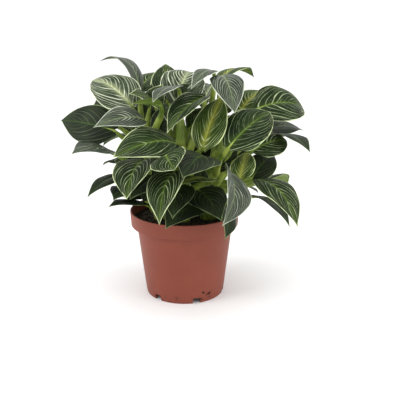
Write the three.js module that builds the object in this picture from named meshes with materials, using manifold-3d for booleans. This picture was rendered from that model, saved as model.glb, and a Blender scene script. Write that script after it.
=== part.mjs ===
// A bushy house plant, a small-leaved philodendron, in the plastic nursery pot it is sold in.
// Millimetres, +Z up. The origin is on the surface that the pot stands on, on the pot's axis;
// -Y is the plant's front. The pot, the root ball, four short stems and every leaf with its
// stalk are separate pieces.
import * as THREE from "three";
import { mergeVertices } from "three/addons/utils/BufferGeometryUtils.js";
import Module from "manifold-3d";

const wasm = await Module();
wasm.setup();

// ---------------------------------------------------------------- driving dimensions
const POT = {
  height: 95,
  rimRadius: 60, // outside, at the top edge
  collarRadius: 59, // outside, at the collar's lower edge
  collarHeight: 16,
  bodyRadius: 52.8, // outside, just under the collar
  baseRadius: 43.3, // outside, at the foot
  wall: 1.2,
  footWidth: 2,
  floorHeight: 7, // underside of the floor above the foot
  floorThickness: 1.4,
  ledgeRise: 1.5, // the collar's ledge slopes by this much
  sides: 40,
};
const NOTCH = { count: 6, width: 8.2, height: 6.5, firstAngle: 18 }; // drainage gaps in the foot
const DRAIN = { count: 6, radius: 4.5, ring: 29, firstAngle: 48 }; // holes in the floor
const SOIL = { top: 84, crown: 3, gap: 0.4, sides: 32 };
const STEM = { lowRadius: 8, topRadius: 5.5, budRadius: 1.5, sides: 10, steps: 8, depthInSoil: 12, gap: 0.4 };
const STALK = { lowRadius: 2.3, topRadius: 0.6, sides: 5, steps: 7, gap: 0.5 };
const RIB = { reach: 0.16, drop: 0.7 }; // the stalk runs on under the blade as its midrib
const BLADE = { thickness: 0.9, across: 4, along: 7, lobe: 0.075, curl: 0.22 };

// Half width of a blade along its midrib, from the stalk to the tip, as shares of the widest.
const BLADE_OUTLINE = [
  [0, 0.4],
  [0.06, 0.68],
  [0.16, 0.91],
  [0.33, 1],
  [0.52, 0.92],
  [0.7, 0.66],
  [0.86, 0.29],
  [0.95, 0.08],
  [1, 0],
];

// Each short stem: where it leaves the soil and where it ends, and the lean of its top.
const STEMS = {
  left: { foot: [-24, -4], head: [-36, -13], top: 195 },
  centre: { foot: [-2, -14], head: [0, -21], top: 197 },
  right: { foot: [26, -6], head: [38, -16], top: 178 },
  back: { foot: [4, 22], head: [6, 30], top: 186 },
};

// Each leaf: its stem, the height of its node on that stem, where the stalk meets the blade,
// the blade's tip, the way its upper face looks, the blade's width, how much it arches and how
// steeply its halves fold up from the midrib.
const LEAVES = [
  ["left", 174, [-47, -2, 228], [-91, 23, 253], [0.5, -0.1, 0.85], 30, 0.3, 0.2],
  ["left", 160, [-52, -38, 215], [-95, -4, 236], [0.1, -0.6, 0.8], 48, 0.15, 0.2],
  ["left", 180, [-22, -54, 218], [-49, -66, 220], [0, 0.5, 0.85], 18, 0.1, 0.3],
  ["left", 152, [-40, -52, 204], [-83, -89, 202], [0, -0.7, 0.7], 28, 0.12, 0.3],
  ["left", 140, [-74, -20, 187], [-134, 14, 191], [-0.2, -0.9, 0.5], 44, 0.1, 0.2],
  ["left", 130, [-73, -30, 165], [-108, -74, 173], [0, -0.3, 1], 42, 0.12, 0.2],
  ["left", 156, [-72, 10, 187], [-99, 44, 210], [0, -0.5, 0.8], 36, 0.1, 0.2],
  ["left", 122, [-38, -60, 164], [-51, -113, 139], [-0.35, -0.7, 0.6], 45, 0.14, 0.35],
  ["left", 113, [-65, -25, 139], [-97, -61, 125], [0, -0.1, 1], 24, 0.12, 0.2],
  ["left", 98, [-51, -20, 122], [-70, -66, 124], [0, -0.2, 1], 38, 0.1, 0.2],
  ["left", 90, [-36, -30, 108], [-75, -69, 118], [0, 0, 1], 36, 0.08, 0.2],
  ["left", 106, [-24, -50, 143], [-50, -98, 134], [0, -0.3, 1], 42, 0.12, 0.2],
  ["left", 164, [-49, 12, 222], [-28, 47, 239], [-0.3, -0.6, 0.7], 34, 0.1, 0.2],
  ["left", 166, [-27, -20, 210], [-53, -48, 228], [0.1, -0.5, 0.9], 30, 0.12, 0.2],
  ["centre", 140, [-8, -58, 181], [-63, -109, 178], [0.1, -0.6, 0.8], 44, 0.12, 0.2],
  ["centre", 112, [-8, -70, 155], [-20, -131, 120], [-0.35, -0.6, 0.9], 38, 0.14, 0.3],
  ["centre", 122, [-15, -99, 178], [-6, -125, 170], [-0.2, -0.75, 0.6], 36, 0.12, 0.2],
  ["centre", 131, [22, -66, 169], [1, -118, 161], [0, -0.6, 0.8], 44, 0.14, 0.2],
  ["centre", 166, [21, -35, 223], [-15, -72, 193], [-0.45, -0.6, 0.65], 33, 0.1, 0.5],
  ["centre", 150, [20, -57, 177], [41, -20, 223], [-0.2, -0.9, 0.4], 34, 0.1, 0.2],
  ["centre", 180, [-6, -14, 214], [6, 22, 242], [0, -0.7, 0.7], 46, 0.25, 0.2],
  ["centre", 174, [-5, -36, 233], [-28, -74, 223], [-0.3, -0.3, 0.9], 26, 0.12, 0.2],
  ["centre", 172, [-18, 2, 215], [-21, 44, 249], [0, -0.6, 0.8], 34, 0.1, 0.2],
  ["centre", 158, [-15, -18, 214], [-10, -56, 192], [0, -0.5, 0.8], 19, 0.16, 0.2],
  ["centre", 102, [15, -45, 129], [38, -93, 111], [0, -0.4, 0.9], 42, 0.12, 0.2],
  ["centre", 91, [13, -42, 113], [-17, -91, 102], [0, -0.3, 1], 38, 0.1, 0.2],
  ["centre", 98, [-4, -52, 136], [-9, -105, 117], [0, -0.4, 0.9], 36, 0.12, 0.2],
  ["centre", 118, [29, -46, 140], [-4, -87, 145], [0, 0, 1], 32, 0.08, 0.2],
  ["right", 140, [47, -60, 179], [89, -22, 206], [-0.2, -0.8, 0.6], 46, 0.1, 0.2],
  ["right", 147, [78, -10, 208], [130, 23, 202], [0, -0.7, 0.7], 48, 0.16, 0.2],
  ["right", 152, [60, 12, 200], [91, 52, 217], [-0.3, -0.6, 0.7], 40, 0.12, 0.2],
  ["right", 158, [39, -22, 243], [51, -58, 210], [0.1, -0.7, 0.7], 33, 0.2, 0.2],
  ["right", 160, [40, 5, 237], [77, 39, 234], [0, 0.2, 1], 32, 0.2, 0.2],
  ["right", 168, [31, -10, 246], [8, -54, 233], [0.2, 0.15, 1], 20, 0.14, 0.2],
  ["right", 132, [74, -20, 166], [111, 9, 170], [0, -0.7, 0.7], 36, 0.12, 0.2],
  ["right", 136, [88, 20, 178], [136, 56, 171], [0, -0.3, 1], 40, 0.12, 0.2],
  ["right", 126, [105, 20, 173], [130, -37, 166], [0, 0.3, 1], 28, 0.12, 0.2],
  ["right", 114, [57, -60, 145], [67, -26, 164], [-0.3, -0.9, 0.5], 26, 0.08, 0.2],
  ["right", 120, [73, -10, 133], [100, 31, 150], [-0.2, -0.8, 0.5], 34, 0.1, 0.2],
  ["right", 108, [87, 10, 124], [120, 45, 110], [0.3, 0.7, 0.7], 38, 0.16, 0.2],
  ["right", 112, [80, -35, 137], [113, -86, 102], [0.4, -0.5, 0.8], 42, 0.16, 0.2],
  ["right", 98, [70, -10, 112], [109, -60, 93], [0.2, 0.2, 1], 32, 0.16, 0.2],
  ["right", 104, [44, -72, 155], [37, -126, 117], [0.9, -0.4, 0.5], 41, 0.16, 0.5],
  ["right", 92, [39, -46, 114], [41, -96, 93], [0.7, -0.3, 0.6], 28, 0.14, 0.2],
  ["back", 160, [-30, 44, 205], [-62, 92, 200], [0, 0.3, 1], 44, 0.16, 0.2],
  ["back", 166, [5, 50, 215], [10, 108, 210], [0, 0.3, 1], 44, 0.18, 0.2],
  ["back", 165, [41, 47, 200], [76, 93, 189], [0, 0.4, 1], 44, 0.16, 0.2],
  ["back", 130, [-50, 35, 165], [-98, 72, 150], [-0.3, 0.4, 1], 44, 0.16, 0.2],
  ["back", 138, [-20, 66, 178], [-37, 131, 152], [0, 0.5, 1], 46, 0.16, 0.2],
  ["back", 146, [27, 66, 172], [38, 131, 146], [0, 0.5, 1], 46, 0.16, 0.2],
  ["back", 108, [-40, 42, 125], [-72, 97, 104], [-0.3, 0.5, 1], 44, 0.16, 0.2],
  ["back", 100, [5, 52, 128], [0, 112, 100], [0, 0.5, 1], 46, 0.16, 0.2],
  ["back", 114, [45, 44, 125], [78, 97, 100], [0.3, 0.5, 1], 44, 0.16, 0.2],
  ["back", 152, [60, 38, 162], [104, 82, 150], [0.3, 0.4, 1], 42, 0.15, 0.2],
];

// ---------------------------------------------------------------- colours
const finish = (name, color, roughness) =>
  new THREE.MeshStandardMaterial({ name, color, roughness, metalness: 0 });
const POT_PLASTIC = finish("pot_plastic", 0xa85a48, 0.5);
const POTTING_SOIL = finish("potting_soil", 0x241a16, 1);
const STEM_GREEN = finish("stem_green", 0x6f8f35, 0.5);
const LEAF_GREEN = finish("leaf_green", 0x2f4a2a, 0.4);

// ---------------------------------------------------------------- solids
const radians = THREE.MathUtils.degToRad;
const vector = (p) => new THREE.Vector3(...p);

// A closed geometry as a manifold solid: shared vertices are merged and flat triangles dropped.
function solid(geometry) {
  const bare = geometry.clone();
  bare.deleteAttribute("normal");
  bare.deleteAttribute("uv");
  const merged = mergeVertices(bare, 1e-4);
  const kept = [];
  const index = merged.index.array;
  for (let i = 0; i < index.length; i += 3) {
    const [a, b, c] = index.subarray(i, i + 3);
    if (a !== b && b !== c && a !== c) kept.push(a, b, c);
  }
  const vertProperties = merged.attributes.position.array;
  return new wasm.Manifold(new wasm.Mesh({ numProp: 3, vertProperties, triVerts: new Uint32Array(kept) }));
}

// A manifold solid as a named three.js mesh.
function meshOf(body, name, material) {
  const { numProp, numVert, vertProperties, triVerts } = body.getMesh();
  const positions = new Float32Array(numVert * 3);
  for (let i = 0; i < numVert; i++) {
    positions.set(vertProperties.subarray(i * numProp, i * numProp + 3), i * 3);
  }
  const geometry = new THREE.BufferGeometry();
  geometry.setAttribute("position", new THREE.BufferAttribute(positions, 3));
  geometry.setIndex(new THREE.BufferAttribute(triVerts, 1));
  geometry.computeVertexNormals();
  const mesh = new THREE.Mesh(geometry, material);
  mesh.name = name;
  return mesh;
}

// Moves every vertex of a geometry to the place that a function gives.
function reshape(geometry, place) {
  const at = geometry.attributes.position;
  const point = new THREE.Vector3();
  for (let i = 0; i < at.count; i++) {
    const moved = place(point.fromBufferAttribute(at, i));
    at.setXYZ(i, moved.x, moved.y, moved.z);
  }
  return geometry;
}

// A solid of revolution about +Z, from [radius, height] points that run round its section.
function turned(outline, sides) {
  const points = outline.map(([r, z]) => new THREE.Vector2(r, z));
  const lathe = new THREE.LatheGeometry([...points, points[0]], sides);
  return solid(lathe.rotateX(Math.PI / 2));
}

// A round bar along a curve. Its radius is a function of the share of the way along, and the
// side vector sets where its section starts.
function bar(curve, side, radiusAt, sides, steps) {
  const rod = new THREE.CylinderGeometry(1, 1, 1, sides, steps);
  return solid(
    reshape(rod, ({ x, y, z }) => {
      const along = THREE.MathUtils.clamp(y + 0.5, 0, 1);
      const radius = radiusAt(along);
      const tangent = curve.getTangentAt(along);
      const out = side.clone().addScaledVector(tangent, -side.dot(tangent)).normalize();
      const up = new THREE.Vector3().crossVectors(out, tangent);
      return curve.getPointAt(along).addScaledVector(out, x * radius).addScaledVector(up, z * radius);
    }),
  );
}

// A closed sheet between an upper and an under face, both on the same grid. The function gives
// the point for a share along, a place from -1 to 1 across, and 1 or -1 for the face.
function sheet(along, across, place) {
  const positions = [];
  const index = [];
  const row = across + 1;
  for (const layer of [1, -1]) {
    const first = positions.length / 3;
    for (let i = 0; i <= along; i++) {
      for (let j = 0; j <= across; j++) {
        positions.push(...place(i / along, (2 * j) / across - 1, layer));
      }
    }
    for (let i = 0; i < along; i++) {
      for (let j = 0; j < across; j++) {
        const a = first + i * row + j;
        const [b, c, d] = [a + 1, a + row, a + row + 1];
        const pair = j < across / 2 ? [a, b, c, b, d, c] : [a, b, d, a, d, c];
        index.push(...(layer > 0 ? pair : pair.reverse()));
      }
    }
  }
  const geometry = new THREE.BufferGeometry();
  geometry.setAttribute("position", new THREE.Float32BufferAttribute(positions, 3));
  return solid(geometry.setIndex(index));
}

// ---------------------------------------------------------------- pot and root ball
// Outer radius of the pot's body at a height, between the foot and the collar.
function bodyRadius(z) {
  const share = z / (POT.height - POT.collarHeight);
  return THREE.MathUtils.lerp(POT.baseRadius, POT.bodyRadius, share);
}

function pot() {
  const { height, rimRadius, collarRadius, wall, floorHeight, floorThickness, footWidth } = POT;
  const ledge = height - POT.collarHeight;
  const floorTop = floorHeight + floorThickness;
  const outline = [
    [0, floorHeight],
    [bodyRadius(floorHeight) - footWidth, floorHeight],
    [POT.baseRadius - footWidth, 0],
    [POT.baseRadius, 0],
    [POT.bodyRadius, ledge],
    [collarRadius - wall, ledge],
    [collarRadius, ledge + 0.5],
    [rimRadius, height - 0.8],
    [rimRadius - wall / 2, height],
    [rimRadius - wall, height - 0.8],
    [collarRadius - wall, ledge + POT.ledgeRise + wall],
    [POT.bodyRadius - wall, ledge + POT.ledgeRise],
    [bodyRadius(floorTop) - wall, floorTop],
    [0, floorTop],
  ];
  let body = turned(outline, POT.sides);
  for (let i = 0; i < NOTCH.count; i++) {
    const block = new THREE.BoxGeometry(NOTCH.width, 4 * footWidth, 2 * NOTCH.height);
    block.translate(0, -POT.baseRadius, 0);
    block.rotateZ(radians(NOTCH.firstAngle + (360 / NOTCH.count) * i));
    body = body.subtract(solid(block));
  }
  for (let i = 0; i < DRAIN.count; i++) {
    const hole = new THREE.CylinderGeometry(DRAIN.radius, DRAIN.radius, 4 * floorThickness, 12);
    hole.rotateX(Math.PI / 2).translate(0, -DRAIN.ring, floorHeight);
    hole.rotateZ(radians(DRAIN.firstAngle + (360 / DRAIN.count) * i));
    body = body.subtract(solid(hole));
  }
  return body;
}

// The root ball fills the pot up to the headspace, with a pocket for each stem.
function soil(pockets) {
  const inner = POT.wall + SOIL.gap;
  const ledge = POT.height - POT.collarHeight + POT.ledgeRise;
  const low = POT.floorHeight + POT.floorThickness + SOIL.gap;
  const ball = turned(
    [
      [0, low],
      [bodyRadius(low) - inner, low],
      [POT.bodyRadius - inner, ledge + SOIL.gap],
      [POT.collarRadius - inner, ledge + POT.wall + SOIL.gap],
      [POT.collarRadius - inner, SOIL.top],
      [POT.bodyRadius * 0.6, SOIL.top + SOIL.crown * 0.7],
      [0, SOIL.top + SOIL.crown],
    ],
    SOIL.sides,
  );
  return pockets.reduce((body, pocket) => body.subtract(pocket), ball);
}

// ---------------------------------------------------------------- stems
// A stem's centre line. It starts under the soil and leans towards its head.
function stemCurve({ foot, head, top }) {
  const low = vector([...foot, SOIL.top - STEM.depthInSoil]);
  const high = vector([...head, top]);
  const middle = new THREE.Vector3(foot[0], foot[1], (SOIL.top + top) / 2);
  return new THREE.QuadraticBezierCurve3(low, middle, high);
}

// The stem's radius at a share of its length: it tapers slowly, then closes to a pointed bud.
function stemRadius(share) {
  const plain = THREE.MathUtils.lerp(STEM.lowRadius, STEM.topRadius, share);
  return THREE.MathUtils.lerp(plain, STEM.budRadius, THREE.MathUtils.smoothstep(share, 0.86, 1));
}

// A stem, or the pocket that holds it in the soil when a gap is given.
function stemBody(plan, gap = 0) {
  const across = new THREE.Vector3(1, 0, 0);
  const body = bar(stemCurve(plan), across, (share) => stemRadius(share) + gap, STEM.sides, STEM.steps);
  return gap ? body.add(body.translate(0, 0, -gap)) : body;
}

// The stem's centre and radius at a height.
function stemAt(plan, height) {
  const low = SOIL.top - STEM.depthInSoil;
  const share = (height - low) / (plan.top - low);
  return { centre: stemCurve(plan).getPointAt(share), radius: stemRadius(share) };
}

// ---------------------------------------------------------------- leaves
// Half width of a blade at a share of its length, as a share of the widest.
function outlineAt(share) {
  const after = BLADE_OUTLINE.findIndex(([s]) => s >= share);
  if (after <= 0) return BLADE_OUTLINE[0][1];
  const [s0, w0] = BLADE_OUTLINE[after - 1];
  const [s1, w1] = BLADE_OUTLINE[after];
  return THREE.MathUtils.lerp(w0, w1, (share - s0) / (s1 - s0));
}

// The frame of a leaf: its midrib, the way across its blade, and its stalk's centre line.
function leafFrame([stem, node, baseAt, tipAt, faceTo, width, arch, fold]) {
  const base = vector(baseAt);
  const tip = vector(tipAt);
  const chord = tip.clone().sub(base);
  const length = chord.length();
  const way = chord.clone().normalize();
  const face = vector(faceTo);
  face.addScaledVector(way, -face.dot(way)).normalize();
  const side = new THREE.Vector3().crossVectors(way, face);
  const bow = base.clone().addScaledVector(chord, 0.45).addScaledVector(face, 2 * arch * length);
  const midrib = new THREE.QuadraticBezierCurve3(base, bow, tip);

  const { centre, radius } = stemAt(STEMS[stem], node);
  const outward = new THREE.Vector3(base.x - centre.x, base.y - centre.y, 0).normalize();
  const start = centre.clone().addScaledVector(outward, radius + STALK.gap + STALK.lowRadius);
  const reach = base.distanceTo(start);
  const leave = outward.clone().multiplyScalar(0.45).add(new THREE.Vector3(0, 0, 1)).normalize();
  const arrive = base.clone().sub(start).normalize().multiplyScalar(0.7);
  arrive.addScaledVector(midrib.getTangent(0), 0.5).normalize();
  const rise = new THREE.CubicBezierCurve3(
    start,
    start.clone().addScaledVector(leave, reach * 0.35),
    base.clone().addScaledVector(arrive, -reach * 0.3),
    base,
  );
  const normal = new THREE.Vector3().crossVectors(side, midrib.getTangent(RIB.reach));
  const under = midrib.getPoint(RIB.reach).addScaledVector(normal, -RIB.drop);
  const stalk = new THREE.CatmullRomCurve3([...rise.getPoints(5), under]);
  return { midrib, side, length, width, fold, stalk };
}

// A point of the blade: share along it, -1 to 1 across it, and -1 or 1 for its under or upper face.
function bladePoint({ midrib, side, length, width, fold }, share, across, layer) {
  const half = (width / 2) * outlineAt(share);
  const lateral = half * across;
  const back = BLADE.lobe * length * Math.sin(Math.PI * Math.abs(across) ** 0.9) * (1 - share) ** 5;
  const tangent = midrib.getTangent(share);
  const normal = new THREE.Vector3().crossVectors(side, tangent);
  const lift = fold * Math.abs(lateral) - (BLADE.curl * lateral * lateral) / (width / 2);
  const thick = (BLADE.thickness / 2) * (1 - across * across) * Math.sin(Math.PI * share) ** 0.5;
  return midrib
    .getPoint(share)
    .addScaledVector(tangent, -back)
    .addScaledVector(side, lateral)
    .addScaledVector(normal, lift + layer * thick);
}

function leafBody(plan) {
  const frame = leafFrame(plan);
  const blade = sheet(BLADE.along, BLADE.across, (even, across, layer) => {
    const share = even - 0.07 * Math.sin(2 * Math.PI * even);
    return bladePoint(frame, share, across, layer);
  });
  const taper = (share) => THREE.MathUtils.lerp(STALK.lowRadius, STALK.topRadius, share ** 1.5);
  return blade.add(bar(frame.stalk, frame.side, taper, STALK.sides, STALK.steps));
}

// ---------------------------------------------------------------- the plant
const plant = new THREE.Group();
plant.add(meshOf(pot(), "pot", POT_PLASTIC));
plant.add(meshOf(soil(Object.values(STEMS).map((plan) => stemBody(plan, STEM.gap))), "soil", POTTING_SOIL));
for (const [name, plan] of Object.entries(STEMS)) {
  plant.add(meshOf(stemBody(plan), `${name}_stem`, STEM_GREEN));
}
const grown = {};
for (const plan of LEAVES) {
  grown[plan[0]] = (grown[plan[0]] ?? 0) + 1;
  const number = String(grown[plan[0]]).padStart(2, "0");
  plant.add(meshOf(leafBody(plan), `${plan[0]}_leaf_${number}`, LEAF_GREEN));
}

export default plant;
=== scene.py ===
"""Looks for a potted, white-veined philodendron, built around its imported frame.

The pot, the root ball, the crowns and every leaf are separate pieces in the frame's own metres.
"""

import logging
import math
import random
import sys
from collections.abc import Callable, Iterator
from dataclasses import dataclass, field
from enum import Enum

import bmesh
import bpy
from mathutils import Matrix, Vector, noise


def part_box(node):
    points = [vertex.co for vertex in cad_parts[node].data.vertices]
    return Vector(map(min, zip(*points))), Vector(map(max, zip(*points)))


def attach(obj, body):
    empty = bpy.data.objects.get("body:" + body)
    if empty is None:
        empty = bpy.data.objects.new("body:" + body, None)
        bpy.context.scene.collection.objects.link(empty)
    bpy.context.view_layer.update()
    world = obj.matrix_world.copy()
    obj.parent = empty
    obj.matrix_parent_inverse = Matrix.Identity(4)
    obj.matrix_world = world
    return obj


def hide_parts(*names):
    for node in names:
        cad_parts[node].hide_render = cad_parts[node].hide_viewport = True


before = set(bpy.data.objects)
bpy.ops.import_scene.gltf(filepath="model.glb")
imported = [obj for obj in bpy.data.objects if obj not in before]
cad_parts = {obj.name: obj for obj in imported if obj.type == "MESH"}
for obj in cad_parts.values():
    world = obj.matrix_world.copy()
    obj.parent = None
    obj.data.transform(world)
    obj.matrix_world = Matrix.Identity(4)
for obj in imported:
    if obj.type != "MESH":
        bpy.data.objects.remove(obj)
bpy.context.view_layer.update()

LOG = logging.getLogger("philodendron")
MM = 0.001
BODY = "root"
VEIN_LAYER = "leaf_vein"
PLACE_LAYER = "leaf_place"
PATTERN_STEP = 3.7  # keeps each leaf's pattern unlike its neighbours'
CORNER_STEPS = 4
BOX_SLACK = 8 * MM

Colour = tuple[float, float, float]
Triple = tuple[float, float, float]
Pair = tuple[float, float]


class Age(Enum):
    """How old a leaf is, which sets its colours and how much white it carries; the grey kind is a glossier
    leaf whose lighter, greyer colours are painted sheen.
    """

    PALE = "pale"
    FRESH = "fresh"
    STRIPED = "striped"
    DARK = "dark"
    # Glossier leaves; the grey wash in their colours is painted sheen.
    GREY = "grey"


# ------------------------------------------------------------------ finishes
class NodeChart:
    """A material's node tree, with short calls for the nodes that the finishes share."""

    def __init__(self, name: str) -> None:
        """Starts a material that holds only a Principled shader.

        Args:
            name: the material's name.
        """
        self.material = bpy.data.materials.new(name)
        self.material.use_nodes = True
        self.tree = self.material.node_tree
        self.shader = self.tree.nodes["Principled BSDF"]

    def node(self, kind: str, **settings: object) -> bpy.types.Node:
        """Adds a node.

        Args:
            kind: the node's type.
            settings: its properties.

        Returns:
            The node.
        """
        made = self.tree.nodes.new(kind)
        for key, value in settings.items():
            setattr(made, key, value)
        return made

    def join(self, source: bpy.types.NodeSocket, target: bpy.types.NodeSocket) -> None:
        """Links one socket to another."""
        self.tree.links.new(source, target)

    def feed(self, target: bpy.types.NodeSocket, value: object) -> None:
        """Sets a socket to a number, or links it when the value is a socket.

        Args:
            target: the input to feed.
            value: the number or socket.
        """
        if isinstance(value, bpy.types.NodeSocket):
            self.join(value, target)
        else:
            target.default_value = value

    def feed_colour(self, target: bpy.types.NodeSocket, value: object) -> None:
        """Sets a socket to an opaque colour, or links it when the value is a socket."""
        self.feed(target, (*value, 1) if isinstance(value, tuple) else value)

    def maths(self, operation: str, *values: object, clamp: bool = False) -> bpy.types.NodeSocket:
        """Adds a Math node and returns its result.

        Args:
            operation: the node's operation.
            values: numbers or sockets for its inputs.
            clamp: whether the result is held between 0 and 1.

        Returns:
            The node's output socket.
        """
        made = self.node("ShaderNodeMath", operation=operation, use_clamp=clamp)
        for socket, value in zip(made.inputs, values):
            self.feed(socket, value)
        return made.outputs[0]

    def times(self, first: object, second: object) -> bpy.types.NodeSocket:
        """Multiplies two numbers or sockets."""
        return self.maths("MULTIPLY", first, second)

    def ramp(self, value: object, low: float, high: float, out: Pair = (0, 1)) -> bpy.types.NodeSocket:
        """Maps a value smoothly from one range to another.

        Args:
            value: the number or socket to map.
            low: the value that gives the first output.
            high: the value that gives the second output.
            out: the two outputs.

        Returns:
            The mapped value's socket.
        """
        made = self.node("ShaderNodeMapRange", interpolation_type="SMOOTHSTEP")
        for socket, number in zip(made.inputs, (value, low, high, *out)):
            self.feed(socket, number)
        return made.outputs[0]

    def mix(self, share: object, first: object, second: object) -> bpy.types.NodeSocket:
        """Mixes two colours.

        Args:
            share: how much of the second colour shows, from 0 to 1.
            first: a colour or socket.
            second: a colour or socket.

        Returns:
            The mixed colour's socket.
        """
        made = self.node("ShaderNodeMix", data_type="RGBA")
        self.feed(made.inputs["Factor"], share)
        colours = [s for s in made.inputs if s.type == "RGBA"]
        for socket, value in zip(colours, (first, second)):
            self.feed_colour(socket, value)
        return next(s for s in made.outputs if s.type == "RGBA")

    def vector(self, x: object, y: object, z: object) -> bpy.types.NodeSocket:
        """Joins three numbers or sockets into a vector.

        Args:
            x: its first part.
            y: its second part.
            z: its third part.

        Returns:
            The vector's socket.
        """
        made = self.node("ShaderNodeCombineXYZ")
        for socket, value in zip(made.inputs, (x, y, z)):
            self.feed(socket, value)
        return made.outputs[0]

    def grain(
        self, place: object, scale: float, detail: float = 2, roughness: float = 0.5
    ) -> bpy.types.NodeSocket:
        """Adds a Noise texture and returns its value.

        Args:
            place: the socket of the point that it is read at.
            scale: its scale.
            detail: its detail.
            roughness: how strong the finer detail is.

        Returns:
            The noise value's socket.
        """
        made = self.node("ShaderNodeTexNoise")
        self.feed(made.inputs["Vector"], place)
        made.inputs["Scale"].default_value = scale
        made.inputs["Detail"].default_value = detail
        made.inputs["Roughness"].default_value = roughness
        return made.outputs[0]

    def object_place(self) -> bpy.types.NodeSocket:
        """The point on the piece, in the frame's metres."""
        return self.node("ShaderNodeTexCoord").outputs["Object"]

    def layer(self, name: str) -> list[bpy.types.NodeSocket]:
        """Reads a vector that the piece's own points carry.

        Args:
            name: the layer's name.

        Returns:
            The sockets of its three parts.
        """
        made = self.node("ShaderNodeAttribute", attribute_name=name)
        parts = self.node("ShaderNodeSeparateXYZ")
        self.join(made.outputs["Vector"], parts.inputs[0])
        return list(parts.outputs)

    def bump(self, height: bpy.types.NodeSocket, depth: float, strength: float = 1) -> None:
        """Raises the surface by a height pattern.

        Args:
            height: the pattern's socket.
            depth: the pattern's full height, in metres.
            strength: how strongly it shows.
        """
        made = self.node("ShaderNodeBump")
        made.inputs["Distance"].default_value = depth
        made.inputs["Strength"].default_value = strength
        self.join(height, made.inputs["Height"])
        self.join(made.outputs[0], self.shader.inputs["Normal"])

    def dress(self, colour: object, roughness: object, specular: float = 0.5) -> bpy.types.Material:
        """Finishes the shader.

        Args:
            colour: its colour, or a colour's socket.
            roughness: its roughness, or a socket.
            specular: its specular level.

        Returns:
            The finished material.
        """
        self.feed_colour(self.shader.inputs["Base Color"], colour)
        self.feed(self.shader.inputs["Roughness"], roughness)
        self.shader.inputs["Specular IOR Level"].default_value = specular
        return self.material


@dataclass(frozen=True)
class BladeFinish:
    """The upper face of a leaf: green, with cream lines along its veins and a cream margin.

    Veins counts the lines on a side. Line and streak say how strong the lines and the fine streaks
    between them are, glow how far the midrib's colour spreads, and margin how wide the edge is.
    """

    name: str
    deep: Colour
    light: Colour
    cream: Colour
    midrib: Colour
    veins: float
    line: float
    streak: float
    glow: float
    margin: float
    roughness: float
    specular: float

    def material(self) -> bpy.types.Material:
        """Builds the material.

        Returns:
            The material, which reads the two layers that a leaf's points carry.
        """
        chart = NodeChart(self.name)
        phase, away, number = chart.layer(VEIN_LAYER)
        along, lateral, inset = chart.layer(PLACE_LAYER)
        place = chart.object_place()

        slow = chart.grain(chart.vector(chart.times(phase, 7.0), away, number), 1.0)
        drift = chart.times(chart.maths("SUBTRACT", slow, 0.5), 1.3)
        turn = chart.maths("ADD", chart.times(phase, self.veins), drift)
        off_line = chart.maths("PINGPONG", turn, 0.5)
        side = chart.maths("SIGN", lateral)
        draw = chart.node("ShaderNodeTexWhiteNoise")
        chart.join(chart.vector(chart.maths("ROUND", turn), side, number), draw.inputs["Vector"])
        luck = draw.outputs["Value"]
        width = chart.ramp(slow, 0.35, 0.65, (0.04, 0.04 + 0.1 * self.line))
        line = chart.ramp(chart.maths("DIVIDE", off_line, width), 1.2, 0.3)
        line = chart.times(line, chart.ramp(luck, 0.05, 0.6, (0.2, 1)))
        patchy = chart.grain(chart.vector(chart.times(phase, 5.0), chart.times(away, 2.2), number), 1.0)
        line = chart.times(line, chart.ramp(patchy, 0.36, 0.56, (0.35, 1)))
        tip_fade = chart.times(chart.ramp(away, 0.3, 0.02), chart.ramp(along, 0.4, 0.85))
        line = chart.times(line, chart.maths("SUBTRACT", 1.0, tip_fade))

        fine = chart.grain(chart.vector(chart.times(phase, 46.0), chart.times(away, 3.0), number), 1.0, 3)
        streak = chart.ramp(fine, 0.68 - 0.2 * self.streak, 0.8 - 0.16 * self.streak)
        white = chart.maths("MAXIMUM", chart.times(line, self.line), chart.times(streak, self.streak))
        white = chart.maths("MULTIPLY", white, chart.ramp(away, 1.0, 0.85, (0.6, 1)), clamp=True)

        blotch = chart.grain(place, 60.0, 3)
        green = chart.mix(chart.ramp(blotch, 0.3, 0.72), self.deep, self.light)
        near_rib = chart.times(chart.ramp(chart.maths("ABSOLUTE", lateral), 6.0, 0.5), self.glow)
        green = chart.mix(near_rib, green, self.midrib)
        colour = chart.mix(white, green, self.cream)

        rib_width = chart.ramp(along, 0.0, 1.0, (1.25, 0.25))
        rib = chart.ramp(chart.maths("DIVIDE", chart.maths("ABSOLUTE", lateral), rib_width), 1.1, 0.55)
        colour = chart.mix(chart.times(rib, 0.5 + 0.5 * self.glow), colour, self.midrib)
        edge_width = chart.ramp(slow, 0.3, 0.7, (0.25, 1.1 * self.margin + 0.25))
        edge = chart.ramp(chart.maths("DIVIDE", inset, edge_width), 1.2, 0.5)
        brim = tuple(min(1.0, 1.25 * part) for part in self.cream)
        colour = chart.mix(chart.times(edge, 0.9), colour, brim)

        quilt = chart.maths("MULTIPLY_ADD", off_line, 1.2, chart.grain(place, 900.0, 2))
        chart.bump(quilt, 0.00022, 0.5)
        gloss = (self.roughness - 0.05, self.roughness + 0.08)
        sheen = chart.ramp(chart.grain(place, 120.0, 2), 0.3, 0.7, gloss)
        return chart.dress(colour, sheen, self.specular)


@dataclass(frozen=True)
class UnderFinish:
    """The under face of a leaf: paler and duller than the upper one, with faint veins."""

    name: str
    green: Colour
    pale: Colour

    def material(self) -> bpy.types.Material:
        """Builds the material.

        Returns:
            The material.
        """
        chart = NodeChart(self.name)
        phase, away, number = chart.layer(VEIN_LAYER)
        fine = chart.grain(chart.vector(chart.times(phase, 34.0), chart.times(away, 2.5), number), 1.0, 3)
        colour = chart.mix(chart.ramp(fine, 0.42, 0.66), self.green, self.pale)
        chart.bump(fine, 0.0003, 0.5)
        return chart.dress(colour, 0.5, 0.15)


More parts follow.
